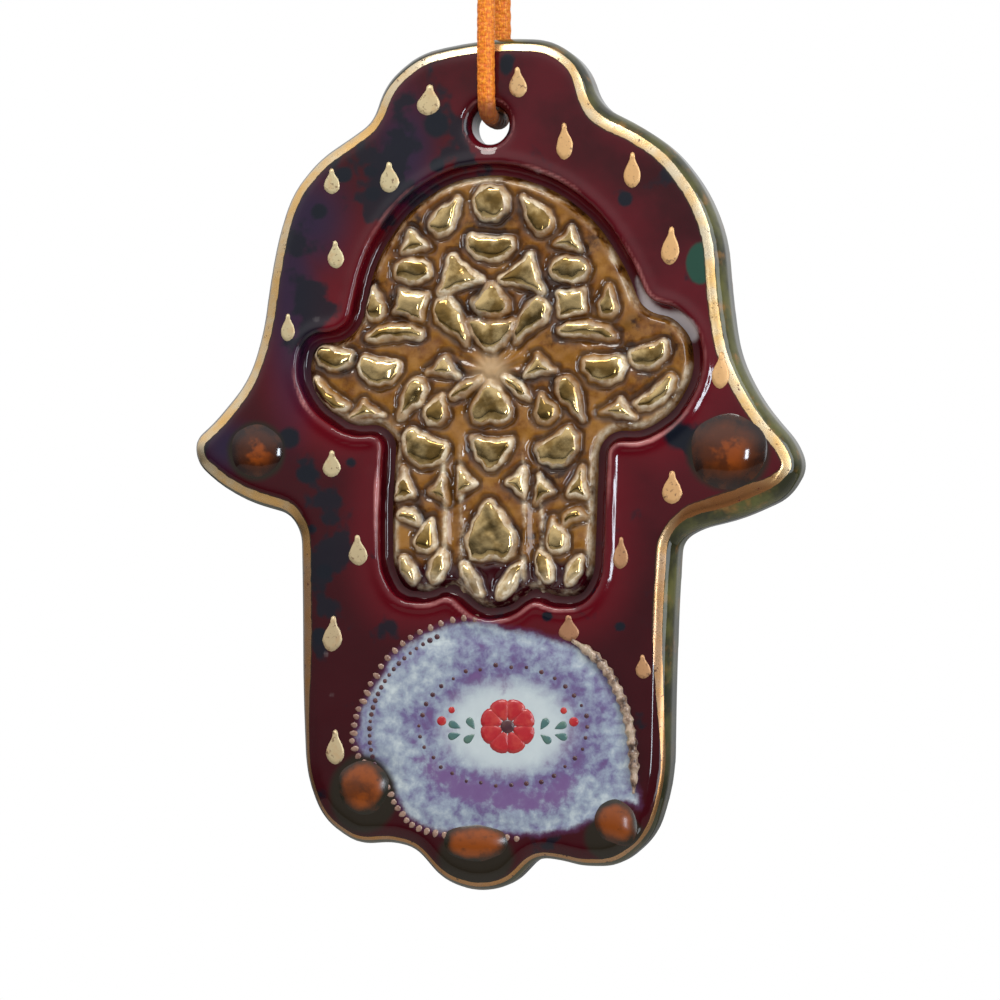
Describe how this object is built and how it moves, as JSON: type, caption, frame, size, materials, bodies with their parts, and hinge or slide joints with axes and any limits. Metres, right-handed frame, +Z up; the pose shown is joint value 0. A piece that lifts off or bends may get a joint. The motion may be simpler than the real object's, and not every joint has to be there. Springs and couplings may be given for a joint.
{
  "type": "hamsa hand ornament",
  "caption": "Glazed ceramic hamsa plaque, fingers down, with a recessed gilded scrollwork hand, amber glass drops and a glaze medallion, hung on a knotted cord.",
  "frame": {"origin": "hang point, at the top inside of the cord's loop, under the knot", "axes": "+X to the viewer's right, +Y away from the viewer (front faces -Y), +Z up"},
  "size_m": [0.0725, 0.0128, 0.1357],
  "materials": {
    "maroon_glaze": "glossy maroon glaze with a gold lustre edge line",
    "amber_glaze": "glossy amber-brown glaze, pale where it breaks over edges",
    "gold_lustre": "fired gold lustre over glaze, glossy",
    "pale_glaze": "glossy pale blue and lilac glaze",
    "slip_ridge": "pinkish-beige trailed slip under clear glaze",
    "amber_glass": "melted amber glass with a dark rim, glossy",
    "satin_cord": "orange satin cord with a soft sheen"
  },
  "bodies": {
    "cord": {"hanging_cord": "satin_cord", "cord_knot": "satin_cord"},
    "plaque": {"plaque_body": "maroon_glaze", "relief_hand": "amber_glaze", "relief_scrollwork": "gold_lustre", "medallion_pool": "pale_glaze", "medallion_ridge": "slip_ridge", "glaze_drop_left_thumb": "amber_glass", "glaze_drop_right_thumb": "amber_glass", "glaze_drop_left_finger": "amber_glass", "glaze_drop_middle_finger": "amber_glass", "glaze_drop_right_finger": "amber_glass"}
  },
  "joints": [
    {"name": "plaque_swing", "type": "hinge", "parent": "cord", "child": "plaque", "pos_m": [0, 0, -0.028], "axis": [0, 1, 0], "range_deg": [-60, 60]}
  ]
}
